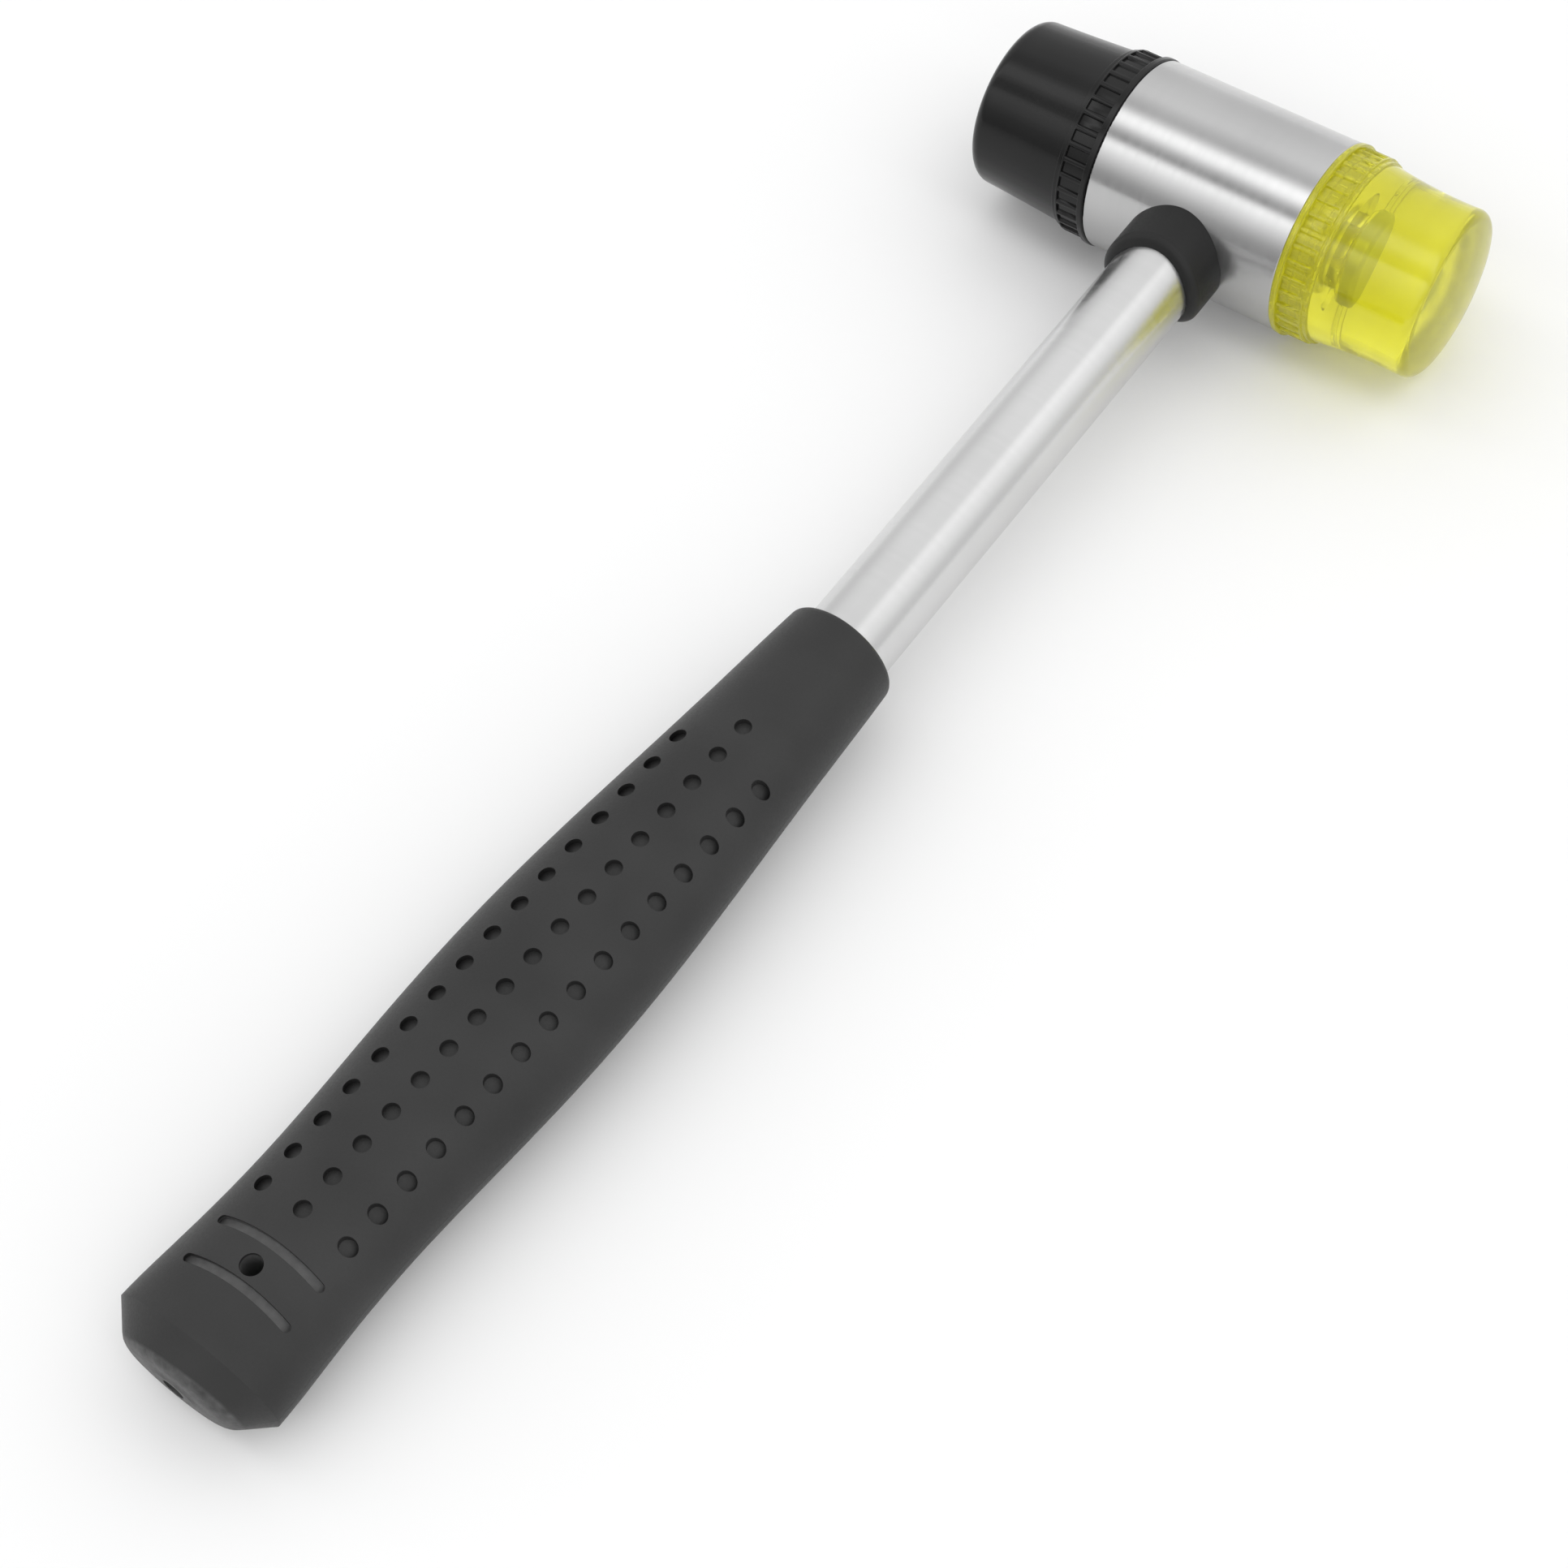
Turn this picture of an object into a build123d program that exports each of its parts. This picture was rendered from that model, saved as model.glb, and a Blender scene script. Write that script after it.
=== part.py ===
from build123d import *
import os
from math import cos, radians, sin

# A double-faced soft mallet, in millimetres. A plated steel barrel carries a screw-on tip at each
# end and is crossed by a steel tube handle with a dimpled rubber grip.
# It lies flat: the head runs along X, the handle along Y with the butt at -Y, and Z is up.
# The origin is under the middle of the whole mallet, at the height of the surface it lies on.

# ---- Driving dimensions -------------------------------------------------------------------

fit_gap = 0.05           # radial clearance of a turning or sliding fit
seat_gap = 0.02          # clearance between pieces that are pressed or moulded together

# Barrel
barrel_radius = 15.0
barrel_half = 16.25      # middle of the barrel to either tip's seat
barrel_edge = 0.25
spigot_radius = 11.2
spigot_length = 4.5

# Tips, each measured outwards from its seat on the barrel
lip_radius = 15.2
lip_length = 1.0
lip_edge = 0.35
band_radius = 14.75      # fluted band beside the lip
band_end = 5.1
ring_radius = 14.4       # plain ring between the band and the body
ring_end = 5.9
flute_count = 36
flute_width = 1.8
flute_depth = 0.4
flute_end = 4.8          # the flutes stop short of the band's own end
recess_radii = (12.1, 11.8, 11.5)    # stepped wall of the recess, from its mouth inwards
recess_step = 1.7
boss_radius = 6.2
boss_height = 1.0
tip_length = 23.3
body_radius = 14.05      # where the body starts, at the ring
black_waist = (13.0, 13.55)     # (distance from the seat, radius) part of the way along the body
black_corner = (21.6, 13.1)     # where the body would meet the domed face without its round edge
black_corner_radius = 2.0
yellow_waist = (10.0, 13.55)
yellow_corner = (21.4, 13.3)
yellow_corner_radius = 1.6

# Threaded studs, M8 x 1.25
stud_radius = 4.0
stud_root_radius = 3.4
thread_pitch = 1.25
stud_reach = 8.3         # free end of the stud, inwards from the seat
stud_point = 0.9
anchor_radius = 5.0
anchor_length = 3.2
anchor_start = 6.4
anchor_edge = 0.4

# Handle tube, with the plugs in its two ends
handle_shift = 0.3       # handle axis off the barrel's middle, towards the black tip
tube_radius = 6.6
tube_wall = 1.2
tube_top = 12.9          # up the handle axis from the head axis, inside the barrel
tube_bottom = 190.0      # all other places on the handle are measured down from the head axis
eye_plug_depth = 9.0
end_plug_depth = 8.0
end_plug_flange = 1.5

# Collar between the barrel and the tube
collar_radius = 8.2
collar_end = 22.0
collar_crown = 15.0      # radius of its crowned end, which follows the barrel's curve
collar_edge = 1.4

# Grip: half width and half thickness at each distance down the handle
grip_front = 101.0
grip_front_edge = 0.9
grip_sections = (
    (grip_front, 8.5, 8.5),
    (115.0, 9.7, 8.3),
    (130.0, 10.95, 8.4),
    (147.0, 12.4, 8.5),
    (165.0, 13.2, 8.6),
    (183.0, 12.8, 8.6),
    (203.0, 11.9, 8.5),
    (216.0, 12.2, 8.6),
    (229.2, 13.0, 8.8),
)
grip_lean = 2.1          # degrees that the rubber's own line leans towards the black tip
butt_edge_section = (232.4, 9.8, 6.0)
butt_dome_height = 1.5
butt_dome_angles = (0, 25, 50, 70)   # degrees round the dome, up to the flat at its middle
gate_mark_radius = 1.6
gate_mark_depth = 0.5

# Pockets in both broad faces of the grip
pocket_depth = 0.9
dimple_radius = 1.2
dimple_pitch = 5.39
dimple_start = 122.8     # first dimple of the middle row
dimple_rows = ((0.0, 0, 17), (-6.95, 1, 16), (6.95, 1, 16))    # offset across, first step, count
hang_hole_place = 218.1
pattern_shift = 0.6      # hole, slots and dimples off the grip's line, towards the yellow tip
hang_hole_radius = 1.5
slot_places = (-3.5, 2.7)    # crest of each curved slot, from the hang hole towards the butt
slot_bend = 50.0         # radius of each slot, which bulges towards the head
slot_reach = 17.6        # degrees that a slot runs round its bend
slot_width = 1.3

# ---- Frame, worked out from the driving dimensions -----------------------------------------

butt_end = butt_edge_section[0] + butt_dome_height * sin(radians(butt_dome_angles[-1]))
head_centre = Vector(0, (butt_end - lip_radius) / 2, lip_radius)
head_axis = Axis(head_centre, (1, 0, 0))
recess_depth = recess_step * len(recess_radii)
tube_bore_radius = tube_radius - tube_wall


def tip_plane(side):
    """Plane for a half profile: x runs outwards from the tip's seat, y is the radius."""
    return Plane(head_centre + Vector(side * barrel_half, 0, 0), x_dir=(side, 0, 0), z_dir=(0, 0, 1))


def across_head(side, distance):
    """Plane square to the head axis, facing outwards, at a distance from the tip's seat."""
    return Plane(head_centre + Vector(side * (barrel_half + distance), 0, 0), z_dir=(side, 0, 0))


def across_handle(distance):
    """Plane square to the handle axis, facing the butt, at a distance below the head axis."""
    centre = head_centre - Vector(handle_shift, distance, 0)
    return Plane(centre, x_dir=(1, 0, 0), z_dir=(0, -1, 0))


def head_disc(side, start, radius, length, mode=Mode.ADD):
    """Adds or cuts a disc on the head axis, from a distance outside the tip's seat."""
    with BuildSketch(across_head(side, start)) as disc:
        Circle(radius)
    extrude(disc.sketch, amount=length, mode=mode)


def grip_plane(distance):
    """Plane square to the rubber's own line, which leans off the handle axis at the grip's front."""
    return across_handle(grip_front).rotated((0, 0, -grip_lean)).offset(distance - grip_front)


def loft_grip(sections, inset=0.0, mode=Mode.ADD):
    """Lofts the grip's oval sections, each drawn in by an inset."""
    outlines = []
    for distance, half_width, half_thickness in sections:
        with BuildSketch(grip_plane(distance)) as outline:
            Ellipse(half_width - inset, half_thickness - inset)
        outlines.append(outline.sketch.face())
    loft(outlines, mode=mode)


def save(piece, name):
    """Labels a finished piece and writes its STEP file."""
    piece.part.label = name
    export_step(piece.part, f"parts/{name}.step")


os.makedirs("parts", exist_ok=True)

# ---- Head barrel ----------------------------------------------------------------------------

with BuildPart() as head_barrel:
    head_disc(1, -seat_gap, barrel_radius, -2 * (barrel_half - seat_gap))
    fillet(head_barrel.edges().filter_by(GeomType.CIRCLE), barrel_edge)
    for side in (-1, 1):
        head_disc(side, -seat_gap, spigot_radius, spigot_length)
        boss_room = recess_depth - boss_height - fit_gap
        head_disc(side, boss_room, boss_radius + 2 * fit_gap, spigot_length, Mode.SUBTRACT)
    bore_length = 2 * (barrel_half + spigot_length)
    head_disc(1, spigot_length, stud_radius + fit_gap, -bore_length, Mode.SUBTRACT)
    with BuildSketch(across_handle(-barrel_radius)):
        Circle(tube_radius + fit_gap)
    extrude(amount=2 * barrel_radius, mode=Mode.SUBTRACT)
save(head_barrel, "head_barrel")

# ---- Tips -----------------------------------------------------------------------------------


def turn_tip(side, waist, corner, corner_radius):
    """Revolves the lip, the band, the ring and the tapered body with its domed face."""
    with BuildSketch(tip_plane(side)) as profile:
        with BuildLine():
            Polyline(
                (tip_length, 0),
                (0, 0),
                (0, lip_radius - lip_edge),
                (lip_edge, lip_radius),
                (lip_length, lip_radius),
                (lip_length, band_radius),
                (band_end, band_radius),
                (band_end, ring_radius),
                (ring_end, ring_radius),
                (ring_end, body_radius),
            )
            Spline((ring_end, body_radius), waist, corner)
            TangentArc((tip_length, 0), corner, tangent=(0, 1))
        make_face()
        outer_corners = profile.vertices().filter_by(lambda vertex: vertex.Y > stud_radius)
        fillet(outer_corners.sort_by(Axis.X)[-1], corner_radius)
    revolve(profile.sketch, axis=head_axis)


def cut_flutes(side):
    """Cuts the ring of flutes across the band."""
    with BuildSketch(across_head(side, lip_length)) as flutes:
        with PolarLocations(band_radius, flute_count, start_angle=180 / flute_count):
            Rectangle(2 * flute_depth, flute_width)
    extrude(flutes.sketch, amount=flute_end - lip_length, mode=Mode.SUBTRACT)


def hollow_tip(side):
    """Opens the stepped recess with its boss, the stud hole and the pocket of the anchor."""
    for step, radius in enumerate(recess_radii):
        head_disc(side, step * recess_step, radius, recess_step, Mode.SUBTRACT)
    head_disc(side, recess_depth, boss_radius, -boss_height)
    head_disc(side, 0, stud_radius + seat_gap, anchor_start, Mode.SUBTRACT)
    pocket_start = anchor_start - fit_gap
    head_disc(side, pocket_start, anchor_radius + fit_gap, anchor_length + 2 * fit_gap, Mode.SUBTRACT)


with BuildPart() as black_tip:
    turn_tip(-1, black_waist, black_corner, black_corner_radius)
    cut_flutes(-1)
    hollow_tip(-1)
save(black_tip, "black_tip")

with BuildPart() as yellow_tip:
    turn_tip(1, yellow_waist, yellow_corner, yellow_corner_radius)
    cut_flutes(1)
    hollow_tip(1)
save(yellow_tip, "yellow_tip")

# ---- Studs and their anchors, one pair in each tip --------------------------------------------


def turn_stud(side):
    """Revolves a stud: a chamfered end, a thread drawn as rings, and a plain shank."""
    thread_start = stud_point - stud_reach
    thread_end = recess_depth - boss_height
    ring_count = int((thread_end - thread_start) / thread_pitch)
    outline = [(-stud_reach, 0), (-stud_reach, stud_radius - stud_point)]
    for ring in range(ring_count):
        crest = thread_start + ring * thread_pitch
        outline.append((crest, stud_radius))
        outline.append((crest + thread_pitch / 2, stud_root_radius))
    outline.append((thread_start + ring_count * thread_pitch, stud_radius))
    outline.append((anchor_start + anchor_length, stud_radius))
    outline.append((anchor_start + anchor_length, 0))
    with BuildSketch(tip_plane(side)) as profile:
        with BuildLine():
            Polyline(*outline, close=True)
        make_face()
    revolve(profile.sketch, axis=head_axis)


for side, tip_name in ((-1, "black_tip"), (1, "yellow_tip")):
    with BuildPart() as stud:
        turn_stud(side)
    save(stud, f"{tip_name}_stud")
    with BuildPart() as anchor:
        head_disc(side, anchor_start, anchor_radius, anchor_length)
        chamfer(anchor.edges(), anchor_edge)
        head_disc(side, anchor_start, stud_radius + fit_gap, anchor_length, Mode.SUBTRACT)
    save(anchor, f"{tip_name}_anchor")

# ---- Handle tube and the plugs in its ends ----------------------------------------------------

with BuildPart() as handle_tube:
    with BuildSketch(across_handle(seat_gap - tube_top)):
        Circle(tube_radius)
        Circle(tube_bore_radius, mode=Mode.SUBTRACT)
    extrude(amount=tube_top + tube_bottom - seat_gap)
save(handle_tube, "handle_tube")

with BuildPart() as eye_plug:
    with BuildSketch(across_handle(-barrel_radius)):
        Circle(tube_radius)
    extrude(amount=barrel_radius - tube_top)
    with BuildSketch(across_handle(-tube_top)):
        Circle(tube_bore_radius - seat_gap)
    extrude(amount=eye_plug_depth)
    head_disc(1, 0, barrel_radius, -2 * barrel_half, Mode.INTERSECT)
save(eye_plug, "eye_plug")

with BuildPart() as tube_end_plug:
    with BuildSketch(across_handle(tube_bottom + seat_gap)):
        Circle(tube_radius)
    extrude(amount=end_plug_flange)
    with BuildSketch(across_handle(tube_bottom + end_plug_flange)):
        Circle(tube_bore_radius - seat_gap)
    extrude(amount=-end_plug_depth)
save(tube_end_plug, "tube_end_plug")

# ---- Collar -----------------------------------------------------------------------------------

with BuildPart() as shaft_collar:
    with BuildSketch(across_handle(0)):
        Circle(collar_radius)
    extrude(amount=collar_end)
    crown_centre = across_handle(collar_end - collar_crown).origin
    with BuildSketch(Plane(crown_centre, z_dir=(1, 0, 0))):
        Circle(collar_crown)
    extrude(amount=collar_radius, both=True, mode=Mode.INTERSECT)
    fillet(shaft_collar.edges().group_by(Axis.Y)[0], collar_edge)
    with BuildSketch(across_handle(0)):
        Circle(tube_radius + seat_gap)
    extrude(amount=collar_end, mode=Mode.SUBTRACT)
    head_disc(1, 0, barrel_radius + seat_gap, -2 * barrel_half, Mode.SUBTRACT)
save(shaft_collar, "shaft_collar")

# ---- Grip -------------------------------------------------------------------------------------

butt_sections = []
for angle in butt_dome_angles:
    place, half_width, half_thickness = butt_edge_section
    share = cos(radians(angle))
    rise = butt_dome_height * sin(radians(angle))
    butt_sections.append((place + rise, half_width * share, half_thickness * share))

# The face plane lies through the rubber's own line: its x runs across, its -y towards the butt.
face_plane = Plane(
    across_handle(grip_front).origin,
    x_dir=grip_plane(grip_front).x_dir,
    z_dir=(0, 0, 1),
)
hang_hole_offset = Vector(pattern_shift, grip_front - hang_hole_place)
hang_hole_plane = Plane(face_plane.from_local_coords(hang_hole_offset))

with BuildPart() as pocket_cutters:
    with BuildSketch(face_plane):
        for across, first, count in dimple_rows:
            for step in range(first, first + count):
                place = dimple_start + step * dimple_pitch - grip_front
                with Locations((pattern_shift + across, -place)):
                    Circle(dimple_radius)
    extrude(amount=lip_radius, both=True)
    with BuildSketch(hang_hole_plane):
        for distance in slot_places:
            bend_centre = (0, -distance - slot_bend)
            with BuildLine() as bend:
                CenterArc(bend_centre, slot_bend, 90 - slot_reach / 2, slot_reach)
            SlotArc(bend.edges()[0], slot_width)
    extrude(amount=lip_radius, both=True)
    loft_grip(grip_sections, inset=pocket_depth, mode=Mode.SUBTRACT)

with BuildPart() as grip_sleeve:
    loft_grip(grip_sections)
    fillet(grip_sleeve.edges().sort_by(Axis.Y)[-1], grip_front_edge)
    loft_grip((grip_sections[-1], butt_edge_section))
    loft_grip(butt_sections)
    add(pocket_cutters.part, mode=Mode.SUBTRACT)
    with BuildSketch(across_handle(collar_end)):
        Circle(tube_radius + seat_gap)
    extrude(amount=tube_bottom + end_plug_flange + 2 * seat_gap - collar_end, mode=Mode.SUBTRACT)
    with BuildSketch(hang_hole_plane):
        Circle(hang_hole_radius)
    extrude(amount=lip_radius, both=True, mode=Mode.SUBTRACT)
    with BuildSketch(grip_plane(butt_end)):
        Circle(gate_mark_radius)
    extrude(amount=-gate_mark_depth, mode=Mode.SUBTRACT)
save(grip_sleeve, "grip_sleeve")
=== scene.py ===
import math

import bmesh
import bpy
from mathutils import Matrix, Vector


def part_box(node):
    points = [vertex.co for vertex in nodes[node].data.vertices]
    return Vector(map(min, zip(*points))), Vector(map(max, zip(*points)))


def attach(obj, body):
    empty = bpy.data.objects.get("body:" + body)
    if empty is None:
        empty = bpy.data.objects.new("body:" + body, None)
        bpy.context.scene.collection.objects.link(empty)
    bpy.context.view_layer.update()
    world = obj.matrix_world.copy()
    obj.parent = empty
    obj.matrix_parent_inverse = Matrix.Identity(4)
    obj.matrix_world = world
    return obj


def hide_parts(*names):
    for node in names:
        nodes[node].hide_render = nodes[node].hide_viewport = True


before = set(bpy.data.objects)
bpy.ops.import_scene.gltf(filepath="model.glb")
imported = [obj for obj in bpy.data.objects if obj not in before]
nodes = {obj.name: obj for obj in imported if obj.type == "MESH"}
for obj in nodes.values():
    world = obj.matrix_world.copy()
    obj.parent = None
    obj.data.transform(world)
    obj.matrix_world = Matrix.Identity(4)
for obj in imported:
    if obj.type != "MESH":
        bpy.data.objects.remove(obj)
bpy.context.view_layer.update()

MM = 0.001
barrel_low, barrel_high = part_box("head_barrel")
head_centre = (barrel_low + barrel_high) / 2


# ---- Node helpers ------------------------------------------------------------------------------


def new_material(name):
    """A material with an empty node tree but for its shader and output; returns it with the shader."""
    material = bpy.data.materials.new(name)
    material.use_nodes = True
    return material, material.node_tree.nodes["Principled BSDF"]


def add_node(material, kind, **sockets):
    node = material.node_tree.nodes.new(kind)
    for socket, value in sockets.items():
        node.inputs[socket.replace("_", " ")].default_value = value
    return node


def link(material, source, target):
    material.node_tree.links.new(source, target)


def grain(material, scale, detail=3.0, stretch=(1, 1, 1)):
    """Noise in the object's own coordinates, stretched by a factor along each axis."""
    coords = add_node(material, "ShaderNodeTexCoord")
    mapping = add_node(material, "ShaderNodeMapping", Scale=stretch)
    noise = add_node(material, "ShaderNodeTexNoise", Scale=scale, Detail=detail)
    link(material, coords.outputs["Object"], mapping.inputs["Vector"])
    link(material, mapping.outputs["Vector"], noise.inputs["Vector"])
    return noise.outputs["Fac"]


def spread(material, value, low, high, start=0.3, end=0.7):
    """Maps a 0 to 1 value onto a range of numbers."""
    node = add_node(material, "ShaderNodeMapRange")
    for socket, number in (("From Min", start), ("From Max", end), ("To Min", low), ("To Max", high)):
        node.inputs[socket].default_value = number
    link(material, value, node.inputs["Value"])
    return node.outputs["Result"]


def tint(material, value, dark, light):
    """Mixes two colours by a 0 to 1 value."""
    ramp = add_node(material, "ShaderNodeValToRGB")
    ramp.color_ramp.elements[0].position = 0.3
    ramp.color_ramp.elements[0].color = (*dark, 1)
    ramp.color_ramp.elements[1].position = 0.7
    ramp.color_ramp.elements[1].color = (*light, 1)
    link(material, value, ramp.inputs["Fac"])
    return ramp.outputs["Color"]


def bump(material, shader, height, distance, strength=1.0, normal=None):
    node = add_node(material, "ShaderNodeBump", Strength=strength, Distance=distance)
    link(material, height, node.inputs["Height"])
    if normal is not None:
        link(material, normal, node.inputs["Normal"])
    link(material, node.outputs["Normal"], shader.inputs["Normal"])


# ---- Materials ---------------------------------------------------------------------------------


def plated_steel(name, along, dark, light):
    """Bright plating with a fine lathe grain that runs round the axis given by along."""
    material, shader = new_material(name)
    stretch = tuple(900 if axis == along else 6 for axis in range(3))
    lines = grain(material, 1.0, 2.0, stretch)
    cloud = grain(material, 60.0, 2.0)
    shader.inputs["Metallic"].default_value = 1.0
    link(material, tint(material, cloud, (dark,) * 3, (light,) * 3), shader.inputs["Base Color"])
    link(material, spread(material, lines, 0.20, 0.26), shader.inputs["Roughness"])
    tangent = add_node(material, "ShaderNodeTangent")
    tangent.direction_type = "RADIAL"
    tangent.axis = "XYZ"[along]
    link(material, tangent.outputs["Tangent"], shader.inputs["Tangent"])
    shader.inputs["Anisotropic"].default_value = 0.7
    shader.inputs["Anisotropic Rotation"].default_value = 0.25
    return material


def moulded(name, dark, light, rough_low, rough_high, grain_scale, grain_depth, gleam=0.5):
    """Moulded plastic or rubber: a fine grain in its colour, roughness and surface."""
    material, shader = new_material(name)
    shader.inputs["Specular IOR Level"].default_value = gleam
    fine = grain(material, grain_scale, 4.0)
    cloud = grain(material, 90.0, 2.0)
    link(material, tint(material, cloud, dark, light), shader.inputs["Base Color"])
    link(material, spread(material, fine, rough_low, rough_high), shader.inputs["Roughness"])
    bump(material, shader, fine, grain_depth)
    return material


def mixed(material, share, first, second):
    """Mixes two colours that already come from nodes."""
    node = add_node(material, "ShaderNodeMixRGB")
    link(material, share, node.inputs["Fac"])
    link(material, first, node.inputs["Color1"])
    link(material, second, node.inputs["Color2"])
    return node.outputs["Color"]


def product(material, first, second):
    node = add_node(material, "ShaderNodeMath")
    node.operation = "MULTIPLY"
    link(material, first, node.inputs[0])
    link(material, second, node.inputs[1])
    return node.outputs[0]


def grip_rubber(name):
    """Dark moulded rubber, greyer on its end face and on the floors of the slots."""
    material = moulded(name, (0.017,) * 3, (0.024,) * 3, 0.44, 0.54, 3000.0, 1.5e-5, 0.4)
    shader = material.node_tree.nodes["Principled BSDF"]
    colour = shader.inputs["Base Color"].links[0].from_socket
    coords = add_node(material, "ShaderNodeTexCoord")
    place = add_node(material, "ShaderNodeSeparateXYZ")
    link(material, coords.outputs["Object"], place.inputs["Vector"])
    along = place.outputs["Y"]
    end_face, slots_from, slots_to = (butt_low.y + mark * MM for mark in (END_FACE, SLOTS_FROM, SLOTS_TO))

    # The oval section at the slots becomes a circle of radius 1, and the floors lie inside it.
    wide, thick = GRIP_HALF_WIDTH * MM, GRIP_HALF_THICKNESS * MM
    section = add_node(
        material,
        "ShaderNodeMapping",
        Scale=(1 / wide, 0, 1 / thick),
        Location=(-GRIP_MIDDLE * MM / wide, 0, -head_centre.z / thick),
    )
    link(material, coords.outputs["Object"], section.inputs["Vector"])
    radius = add_node(material, "ShaderNodeVectorMath")
    radius.operation = "LENGTH"
    link(material, section.outputs["Vector"], radius.inputs[0])
    floors = spread(material, radius.outputs["Value"], 1.0, 0.0, 0.935, 0.955)
    past_start = spread(material, along, 0.0, 1.0, slots_from, slots_from + 0.1 * MM)
    before_end = spread(material, along, 1.0, 0.0, slots_to, slots_to + 0.1 * MM)
    slot_floors = product(material, floors, product(material, past_start, before_end))
    worn = tint(material, grain(material, 900.0), (0.085,) * 3, (0.115,) * 3)
    colour = mixed(material, slot_floors, colour, worn)

    face = spread(material, along, 1.0, 0.0, end_face, end_face + 0.3 * MM)
    scuffs = tint(material, grain(material, 700.0), (0.030,) * 3, (0.075,) * 3)
    link(material, mixed(material, face, colour, scuffs), shader.inputs["Base Color"])
    return material


def translucent_yellow(name, face_from):
    """Clear plastic, smooth round its side and dulled on its face, which starts at a place along X."""
    material, shader = new_material(name)
    colour = tint(material, grain(material, 120.0, 2.0), (0.93, 0.89, 0.035), (0.96, 0.93, 0.06))
    link(material, colour, shader.inputs["Base Color"])
    coords = add_node(material, "ShaderNodeTexCoord")
    place = add_node(material, "ShaderNodeSeparateXYZ")
    link(material, coords.outputs["Object"], place.inputs["Vector"])
    face = spread(material, place.outputs["X"], 0.0, 0.2, face_from, face_from + 1.5 * MM)
    polish = spread(material, grain(material, 900.0), 0.01, 0.03)
    total = add_node(material, "ShaderNodeMath")
    link(material, face, total.inputs[0])
    link(material, polish, total.inputs[1])
    link(material, total.outputs[0], shader.inputs["Roughness"])
    shader.inputs["Transmission Weight"].default_value = 0.76
    shader.inputs["IOR"].default_value = 1.48
    return material


def zinc_steel(name, dark, light, rough_low, rough_high):
    """Plated steel with a faintly crystalline surface."""
    material, shader = new_material(name)
    cloud = grain(material, 300.0, 3.0)
    shader.inputs["Metallic"].default_value = 1.0
    link(material, tint(material, cloud, dark, light), shader.inputs["Base Color"])
    link(material, spread(material, cloud, rough_low, rough_high), shader.inputs["Roughness"])
    bump(material, shader, cloud, 0.00001)
    return material


GRIP_MIDDLE, GRIP_HALF_WIDTH, GRIP_HALF_THICKNESS = -4.57, 12.35, 8.62    # at the slots
END_FACE, SLOTS_FROM, SLOTS_TO = 1.2, 9.9, 20.9    # from the butt end towards the head
butt_low, butt_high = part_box("grip_sleeve")
materials = {
    "head_barrel": plated_steel("barrel_plating", 0, 0.50, 0.54),
    "eye_plug": plated_steel("eye_plug_plating", 1, 0.50, 0.54),
    "handle_tube": plated_steel("tube_plating", 1, 0.62, 0.66),
    "shaft_collar": moulded("collar_plastic", (0.008,) * 3, (0.012,) * 3, 0.42, 0.5, 2500.0, 4e-6, 0.3),
    "grip_sleeve": grip_rubber("grip_rubber"),
    "tube_end_plug": moulded("end_plug_plastic", (0.03,) * 3, (0.04,) * 3, 0.5, 0.6, 2500.0, 4e-6),
}
for node_name, material in materials.items():
    node = nodes[node_name]
    node.data.materials.clear()
    node.data.materials.append(material)

# ---- Turned pieces -----------------------------------------------------------------------------
# The tips, studs and anchors are turned about the head axis. A tip's profile is a list of places
# (distance outwards from its seat, radius) in millimetres, round each of which the mesh closes.

LIP_RADIUS, LIP_END, LIP_EDGE = 15.2, 1.0, 0.3
BAND_RADIUS, BAND_END = 14.75, 5.1
RING_RADIUS, RING_END = 14.4, 5.9
BODY_RADIUS = 14.05
FLUTE_COUNT, FLUTE_DEPTH, FLUTE_END, FLUTE_RUNOUT = 36, 0.4, 4.8, 0.12
FLUTE_SIDE = ((0, 1.0), (3.0, 1.0), (3.3, 0.7), (3.6, 0.3), (3.9, 0.1), (4.3, 0.03), (5.0, 0.0))
RECESS_RADII, RECESS_STEP = (12.1, 11.8, 11.5), 1.7
RIB_RADIUS, RIB_WIDTH, CELL_DEPTH = 11.32, 0.35, 0.15
RECESS_DEPTH = RECESS_STEP * len(RECESS_RADII)
BOSS_RADIUS, BOSS_HEIGHT = 6.2, 1.0
STUD_RADIUS, STUD_ROOT, STUD_REACH, STUD_POINT = 4.0, 3.4, 8.3, 0.9
THREAD_PITCH, THREAD_END = 1.25, 4.1
ANCHOR_START, ANCHOR_END, ANCHOR_RADIUS, ANCHOR_ROUND = 6.4, 9.6, 5.0, 0.9
MOULDED_GRIP = 0.02      # how far the plastic closes over the metal that is moulded into it
SMALL_ROUND, STEP_ROUND, RIB_ROUND, INNER_ROUND = 0.12, 0.08, 0.05, 0.06
HOLD = 0.06              # distance from a rounded corner to the loop that keeps the flat beside it flat
STEPS_ALONG = 12         # loops along a tip's body and, as many again, across its dome
STEPS_ROUND = 72         # round a stud or its head
STEPS_A_TURN = 14        # along each turn of the thread
SMOOTH_UP_TO = math.radians(40)
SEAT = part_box("yellow_tip")[0].x - head_centre.x


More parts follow.
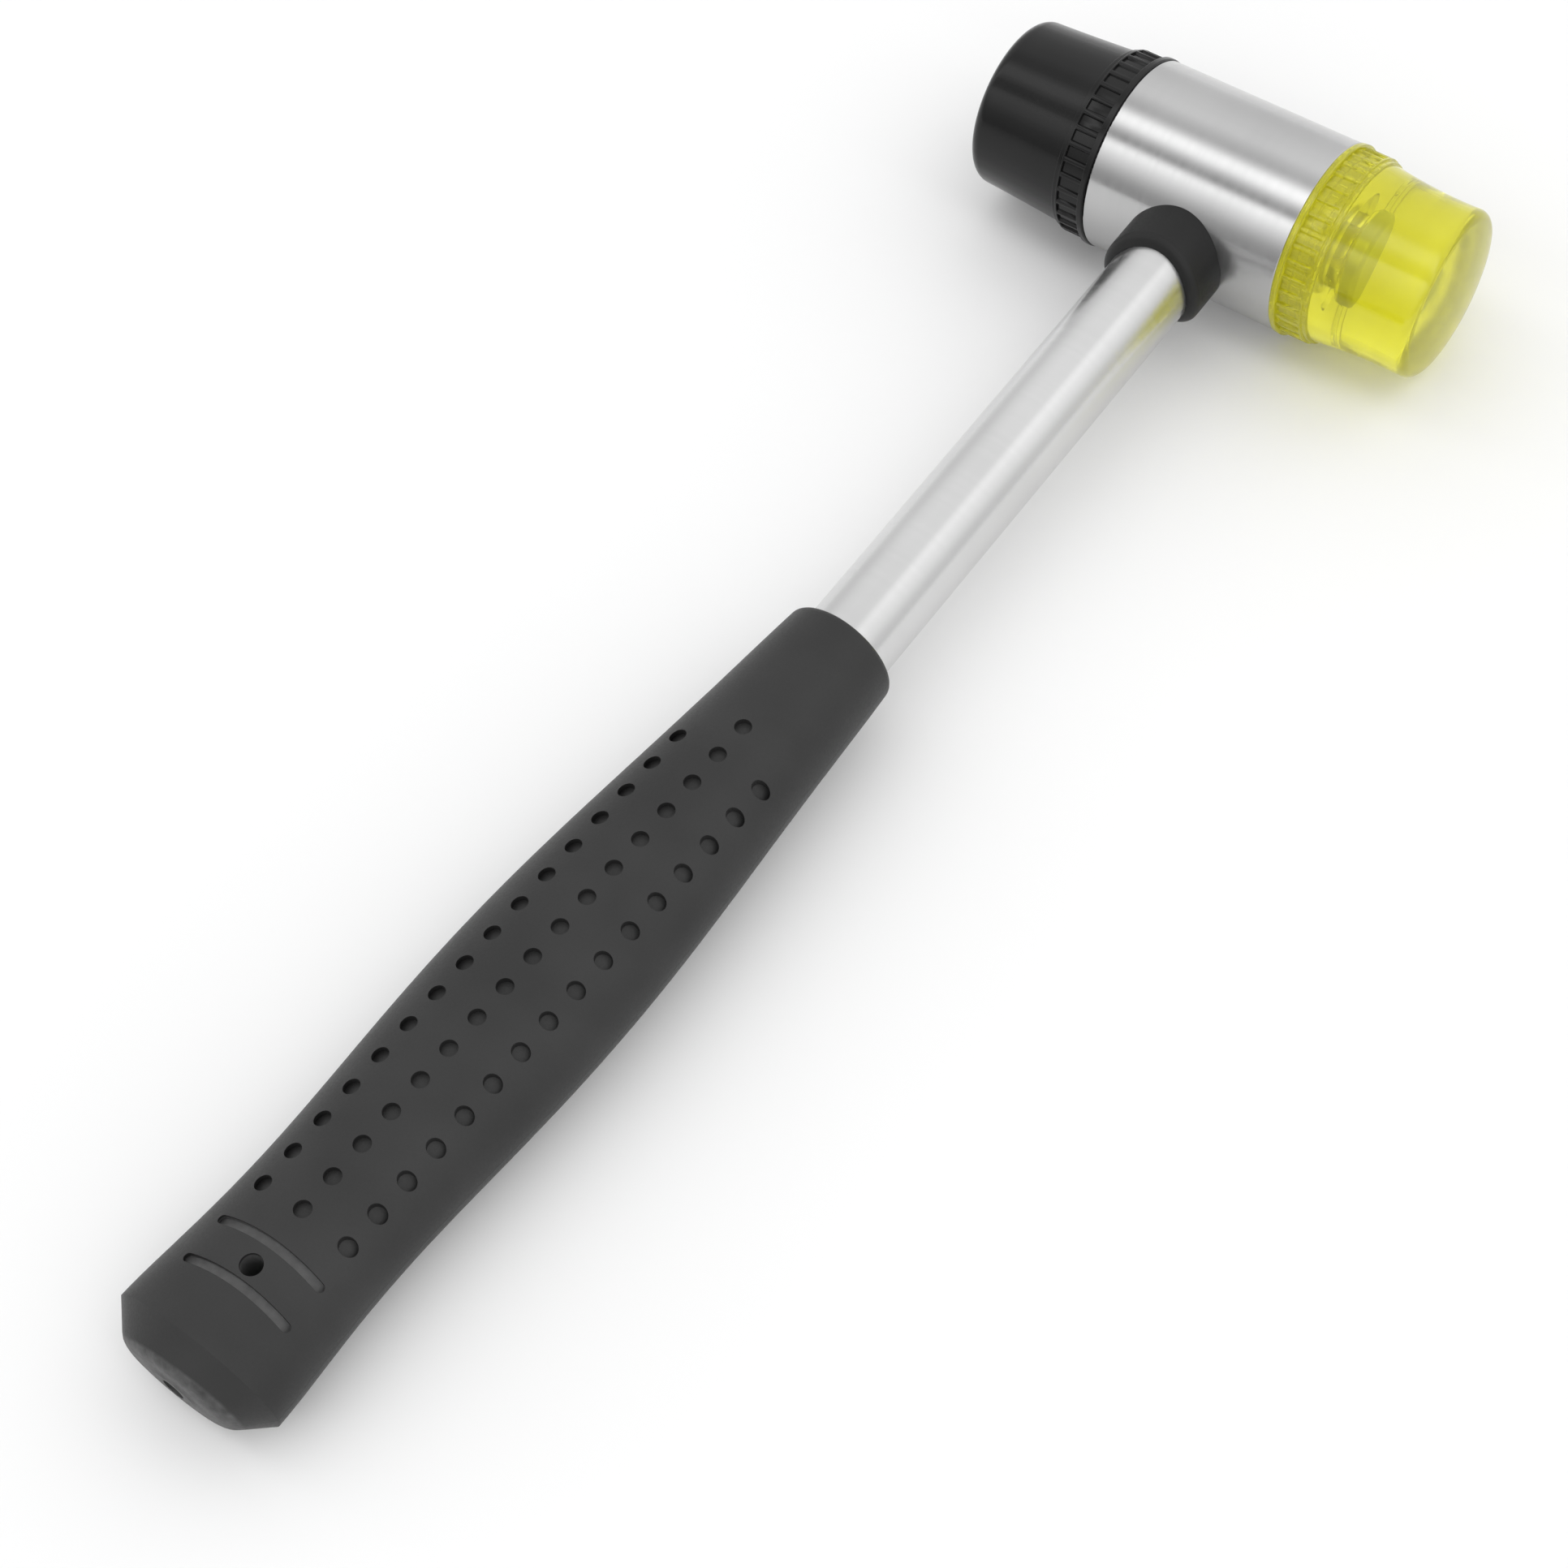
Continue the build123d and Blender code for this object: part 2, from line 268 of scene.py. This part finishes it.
def rounded(corners, steps=4):
    """Rounds the corners of a line of (x, y, radius) and returns its points."""
    points = [Vector(corners[0][:2])]
    for before, corner, after in zip(corners, corners[1:], corners[2:]):
        here = Vector(corner[:2])
        if corner[2] == 0:
            points.append(here)
            continue
        come = (here - Vector(before[:2])).normalized()
        leave = (Vector(after[:2]) - here).normalized()
        turn = come.angle(leave)
        inward = (leave - math.cos(turn) * come) / math.sin(turn)
        start = here - corner[2] * math.tan(turn / 2) * come
        points.append(start - HOLD * come)
        for step in range(steps + 1):
            angle = turn * step / steps
            points.append(start + corner[2] * (math.sin(angle) * come + (1 - math.cos(angle)) * inward))
        points.append(points[-1] + HOLD * leave)
    points.append(Vector(corners[-1][:2]))
    return points


def turn(name, node_name, places, angles, shape, body, slot_name, material):
    """Turns a profile about the head axis; shape gives the radius at a place and an angle."""
    low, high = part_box(node_name)
    outward = 1 if low.x + high.x > 2 * head_centre.x else -1
    seat = head_centre.x + outward * SEAT
    build = bmesh.new()
    rings = []
    for place in places:
        x = seat + outward * place.x * MM
        if place.y < 1e-6:
            rings.append([build.verts.new((x, head_centre.y, head_centre.z))])
            continue
        ring = []
        for angle in angles:
            radius = shape(place, angle) * MM
            y = head_centre.y + outward * radius * math.sin(angle)
            z = head_centre.z - radius * math.cos(angle)
            ring.append(build.verts.new((x, y, z)))
        rings.append(ring)
    for inner, outer in zip(rings, rings[1:]):
        for step in range(len(angles)):
            after = (step + 1) % len(angles)
            corners = [inner[step % len(inner)], inner[after % len(inner)]]
            corners += [outer[after % len(outer)], outer[step % len(outer)]]
            build.faces.new(dict.fromkeys(corners))
    bmesh.ops.recalc_face_normals(build, faces=build.faces)
    mesh = bpy.data.meshes.new(name)
    build.to_mesh(mesh)
    build.free()
    mesh.shade_smooth()
    mesh.set_sharp_from_angle(angle=SMOOTH_UP_TO)
    mesh.materials.append(material)
    piece = bpy.data.objects.new(name, mesh)
    bpy.context.scene.collection.objects.link(piece)
    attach(piece, body)
    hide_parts(node_name)


def plain(place, angle):
    return place.y


def share_at(value, table):
    """Reads a table of (value, share) between its rows."""
    for (low, first), (high, second) in zip(table, table[1:]):
        if value <= high:
            return first + (second - first) * (value - low) / (high - low)
    return table[-1][1]


def fluted(place, angle):
    """The band's radius, less the depth of the flutes."""
    pitch = 360 / FLUTE_COUNT
    across = pitch / 2 - abs((math.degrees(angle) + pitch / 2) % pitch - pitch / 2)
    if RIB_RADIUS + 0.1 < place.y < RECESS_RADII[0] + 0.1 and 0.2 < place.x < RECESS_DEPTH - 0.1:
        return place.y + CELL_DEPTH * share_at(across, FLUTE_SIDE)
    if place.y < RING_RADIUS + 0.1 or not LIP_END <= place.x <= BAND_END:
        return place.y
    end = min(1.0, max(0.0, (FLUTE_END - place.x) / FLUTE_RUNOUT))
    return min(place.y, BAND_RADIUS) - FLUTE_DEPTH * end * share_at(across, FLUTE_SIDE)


def threaded(place, angle):
    """A right-hand thread on the part of the stud outside the tip."""
    if not -STUD_REACH < place.x < THREAD_END:
        return place.y
    way = (place.x / THREAD_PITCH - angle / (2 * math.pi)) % 1
    flank = min(1.0, max(0.0, (abs(2 * way - 1) - 0.125) / 0.625))
    cut = STUD_RADIUS - (STUD_RADIUS - STUD_ROOT) * flank
    return min(place.y, cut)


flute_angles = []
for flute in range(FLUTE_COUNT):
    for across in (-5, -4.3, -3.9, -3.6, -3.3, -3.0, 0, 3.0, 3.3, 3.6, 3.9, 4.3):
        flute_angles.append(math.radians((flute + 0.5) * 360 / FLUTE_COUNT + across))
even_angles = [2 * math.pi * step / STEPS_ROUND for step in range(STEPS_ROUND)]


def turned_tip(name, node_name, waist, corner, corner_round, body, slot_name, material):
    """One striking tip, from the pocket of its anchor round its recess, lip and body to its dome."""
    low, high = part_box(node_name)
    length = (high.x - low.x) / MM
    recess = RECESS_DEPTH
    hole = STUD_RADIUS - MOULDED_GRIP
    pocket = ANCHOR_RADIUS - MOULDED_GRIP
    pocket_start, pocket_end = ANCHOR_START + MOULDED_GRIP, ANCHOR_END - MOULDED_GRIP
    corners = [
        (pocket_end, 0, 0),
        (pocket_end, pocket, ANCHOR_ROUND),
        (pocket_start, pocket, ANCHOR_ROUND / 2),
        (pocket_start, hole, 0),
        (recess - BOSS_HEIGHT, hole, 0),
        (recess - BOSS_HEIGHT, BOSS_RADIUS, SMALL_ROUND),
        (recess, BOSS_RADIUS, SMALL_ROUND),
    ]
    wall = recess
    for radius in reversed(RECESS_RADII):
        corners.append((wall, radius, STEP_ROUND))
        wall -= RECESS_STEP
        if radius < RECESS_RADII[0]:
            corners.append((wall + RIB_WIDTH, radius, RIB_ROUND))
            corners.append((wall + RIB_WIDTH, RIB_RADIUS, RIB_ROUND))
            corners.append((wall, RIB_RADIUS, STEP_ROUND))
        else:
            corners.append((wall, radius, SMALL_ROUND))
    corners += [
        (0, LIP_RADIUS, LIP_EDGE),
        (LIP_END, LIP_RADIUS, SMALL_ROUND),
        (LIP_END, BAND_RADIUS, 0),
        (FLUTE_END - FLUTE_RUNOUT, BAND_RADIUS, 0),
        (FLUTE_END - FLUTE_RUNOUT / 2, BAND_RADIUS, 0),
        (FLUTE_END, BAND_RADIUS, 0),
        (BAND_END, BAND_RADIUS, SMALL_ROUND),
        (BAND_END, RING_RADIUS, INNER_ROUND),
        (RING_END, RING_RADIUS, SMALL_ROUND),
        (RING_END, BODY_RADIUS, INNER_ROUND),
    ]
    side = [Vector((RING_END, BODY_RADIUS)), Vector(waist), Vector(corner)]
    for step in range(1, STEPS_ALONG - 1):
        x = RING_END + (corner[0] - RING_END) * step / STEPS_ALONG
        corners.append((x, parabola(side, x), 0))
    corners.append((*corner, corner_round))
    rise = length - corner[0]
    dome = (corner[1] ** 2 + rise ** 2) / (2 * rise)
    for step in range(2, STEPS_ALONG + 1):
        radius = corner[1] * (1 - step / STEPS_ALONG)
        corners.append((length - dome + math.sqrt(dome ** 2 - radius ** 2), radius, 0))
    turn(name, node_name, rounded(corners, 6), flute_angles, fluted, body, slot_name, material)


def parabola(points, x):
    """The height at x of the parabola through three points."""
    total = 0
    for one in points:
        share = one.y
        for other in points:
            if other is not one:
                share *= (x - other.x) / (one.x - other.x)
        total += share
    return total


def turned_stud(name, node_name, body, material):
    end = ANCHOR_END - 0.2
    places = [Vector((-STUD_REACH, 0)), Vector((-STUD_REACH, STUD_RADIUS - STUD_POINT))]
    steps = round((THREAD_END + STUD_REACH) / THREAD_PITCH * STEPS_A_TURN)
    for step in range(1, steps + 1):
        x = -STUD_REACH + (THREAD_END + STUD_REACH) * step / steps
        radius = min(STUD_RADIUS, STUD_RADIUS - STUD_POINT + x + STUD_REACH)
        places.append(Vector((x, radius)))
    places += [Vector((end, STUD_RADIUS)), Vector((end, 0))]
    turn(name, node_name, places, even_angles, threaded, body, "stud_steel", material)


def turned_anchor(name, node_name, body, material):
    """The stud's broad head, with a well rounded rim, hollow where the stud's end sits in it."""
    bore = STUD_RADIUS + 0.03
    floor_at = ANCHOR_END - 0.17
    outside = rounded([
        (ANCHOR_START, 0, 0),
        (ANCHOR_START, ANCHOR_RADIUS, ANCHOR_ROUND),
        (ANCHOR_END, ANCHOR_RADIUS, ANCHOR_ROUND),
        (ANCHOR_END, 0, 0),
    ], 10)
    outside = [point for point in outside if point.y > bore or point.x > ANCHOR_END - ANCHOR_ROUND]
    inside = [Vector((floor_at, 0)), Vector((floor_at, bore)), Vector((outside[0].x, bore))]
    turn(name, node_name, inside + outside, even_angles, plain, body, "stud_steel", material)


black_plastic = moulded("black_tip_plastic", (0.006,) * 3, (0.009,) * 3, 0.18, 0.24, 2500.0, 1e-6, 0.28)
yellow_plastic = translucent_yellow("yellow_tip_plastic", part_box("yellow_tip")[1].x - 2.5 * MM)
turned_tip("black_striking_tip", "black_tip", (13.0, 13.55), (21.6, 13.1), 2.0,
           "black_face", "black_tip_plastic", black_plastic)
turned_tip("yellow_striking_tip", "yellow_tip", (10.0, 13.55), (21.4, 13.3), 1.6,
           "yellow_face", "yellow_tip_plastic", yellow_plastic)
stud_zinc = zinc_steel("stud_zinc", (0.62, 0.62, 0.58), (0.74, 0.74, 0.70), 0.22, 0.36)
head_zinc = zinc_steel("stud_head_zinc", (0.36, 0.37, 0.33), (0.44, 0.45, 0.40), 0.28, 0.36)
for side in ("black", "yellow"):
    turned_stud(f"{side}_stud_thread", f"{side}_tip_stud", f"{side}_face", stud_zinc)
    turned_anchor(f"{side}_stud_head", f"{side}_tip_anchor", f"{side}_carrier", head_zinc)

# ---- Camera ------------------------------------------------------------------------------------

CAMERA_TARGET = Vector((5.715, -123.04, 0)) * MM
CAMERA_DISTANCE = 406.1 * MM
CAMERA_AZIMUTH = math.radians(40.789)
CAMERA_ELEVATION = math.radians(56.801)
CAMERA_ROLL = math.radians(-6.200)
CAMERA_LENS = 69.816

camera_back = Vector((
    math.sin(CAMERA_AZIMUTH) * math.cos(CAMERA_ELEVATION),
    -math.cos(CAMERA_AZIMUTH) * math.cos(CAMERA_ELEVATION),
    math.sin(CAMERA_ELEVATION),
))
camera_data = bpy.data.cameras.new("camera")
camera_data.lens = CAMERA_LENS
camera_data.sensor_width = 36.0
camera_data.clip_start = 0.01
camera_data.clip_end = 20.0
camera = bpy.data.objects.new("camera", camera_data)
camera.rotation_mode = "QUATERNION"
camera.location = head_centre + CAMERA_TARGET + CAMERA_DISTANCE * camera_back
camera.rotation_quaternion = (
    camera_back.to_track_quat("Z", "Y") @ Matrix.Rotation(CAMERA_ROLL, 3, "Z").to_quaternion()
)
bpy.context.scene.collection.objects.link(camera)
bpy.context.scene.camera = camera

# ---- Floor and light ---------------------------------------------------------------------------

bpy.context.scene.view_settings.view_transform = "Standard"

floor_mesh = bpy.data.meshes.new("floor")
floor_build = bmesh.new()
bmesh.ops.create_grid(floor_build, x_segments=1, y_segments=1, size=3.0)
floor_build.to_mesh(floor_mesh)
floor_build.free()
floor = bpy.data.objects.new("floor", floor_mesh)

# The mallet lies on both striking tips' rims and on the butt, which is thinner, so the floor runs
# up towards the butt.
butt_drop = (butt_high.z - butt_low.z) / 2
floor_slope = math.asin((LIP_RADIUS * MM - butt_drop) / (head_centre.y - butt_low.y))
floor.location = (0, head_centre.y, head_centre.z - LIP_RADIUS * MM / math.cos(floor_slope))
floor.rotation_euler = (-floor_slope, 0, 0)
bpy.context.scene.collection.objects.link(floor)
floor_material, floor_shader = new_material("floor_paper")
paper = tint(floor_material, grain(floor_material, 4.0), (0.88,) * 3, (0.90,) * 3)
link(floor_material, paper, floor_shader.inputs["Base Color"])
floor_shader.inputs["Roughness"].default_value = 0.9
floor_mesh.materials.append(floor_material)

# The studio is a tent of soft light. Long strips of it run along the head and, fainter, along the
# handle, so that the plated pieces show bands. Each strip is (angle from straight up, brightness).
STRIPS_ALONG_HEAD = (
    (-180, 0.5), (-102, 0.5), (-86, 0.45), (-72, 0.62), (-61, 1.0), (-51, 1.4), (-41, 1.9), (-37, 1.5),
    (-32, 0.4), (-27, 0.5), (-20, 1.0), (-14, 1.7), (-8, 2.0), (-2, 1.8), (3, 1.1), (10, 0.7), (16, 0.8),
    (30, 1.1), (45, 1.05), (70, 0.95), (90, 1.05), (110, 1.25), (130, 1.6), (180, 1.6),
)
STRIPS_ALONG_HANDLE = (
    (-180, 1.2), (-145, 1.2), (-125, 1.05), (-100, 0.95), (-70, 0.82), (-45, 0.95), (-25, 1.0), (12, 1.0),
    (20, 1.18), (28, 1.25), (40, 1.15), (55, 1.05), (75, 0.85), (88, 0.8), (100, 0.9), (180, 1.0),
)
BRIGHTEST_STRIP = 2.0

world = bpy.data.worlds.new("studio")
world.use_nodes = True
sky = world.node_tree
sky.nodes["Background"].inputs["Color"].default_value = (1, 1, 1, 1)
bpy.context.scene.world = world


def strips(across, upward, stops):
    """Brightness by the angle from straight up, seen along the strips."""
    angle = sky.nodes.new("ShaderNodeMath")
    angle.operation = "ARCTAN2"
    sky.links.new(across, angle.inputs[0])
    sky.links.new(upward, angle.inputs[1])
    share = sky.nodes.new("ShaderNodeMapRange")
    share.inputs["From Min"].default_value = -math.pi
    share.inputs["From Max"].default_value = math.pi
    sky.links.new(angle.outputs[0], share.inputs["Value"])
    ramp = sky.nodes.new("ShaderNodeValToRGB").color_ramp
    for degrees, brightness in stops[1:-1]:
        ramp.elements.new((degrees + 180) / 360)
    for element, (degrees, brightness) in zip(ramp.elements, stops):
        element.position = (degrees + 180) / 360
        element.color = (*[brightness / BRIGHTEST_STRIP] * 3, 1)
    node = sky.nodes[-1]
    sky.links.new(share.outputs["Result"], node.inputs["Fac"])
    return node.outputs["Color"]


def sky_math(operation, first, second):
    node = sky.nodes.new("ShaderNodeMath")
    node.operation = operation
    for socket, value in zip(node.inputs, (first, second)):
        if isinstance(value, float):
            socket.default_value = value
        else:
            sky.links.new(value, socket)
    return node.outputs[0]


direction = sky.nodes.new("ShaderNodeTexCoord")
parts = sky.nodes.new("ShaderNodeSeparateXYZ")
sky.links.new(direction.outputs["Generated"], parts.inputs[0])
head_strips = strips(parts.outputs["Y"], parts.outputs["Z"], STRIPS_ALONG_HEAD)
handle_strips = strips(parts.outputs["X"], parts.outputs["Z"], STRIPS_ALONG_HANDLE)
brightness = sky_math("MULTIPLY", head_strips, handle_strips)
brightness = sky_math("MULTIPLY", brightness, BRIGHTEST_STRIP ** 2)
seen = sky.nodes.new("ShaderNodeLightPath")
shown = sky.nodes.new("ShaderNodeMix")
shown.data_type = "FLOAT"
sky.links.new(seen.outputs["Is Camera Ray"], shown.inputs["Factor"])
sky.links.new(brightness, shown.inputs["A"])
shown.inputs["B"].default_value = 1.0
sky.links.new(shown.outputs["Result"], sky.nodes["Background"].inputs["Strength"])
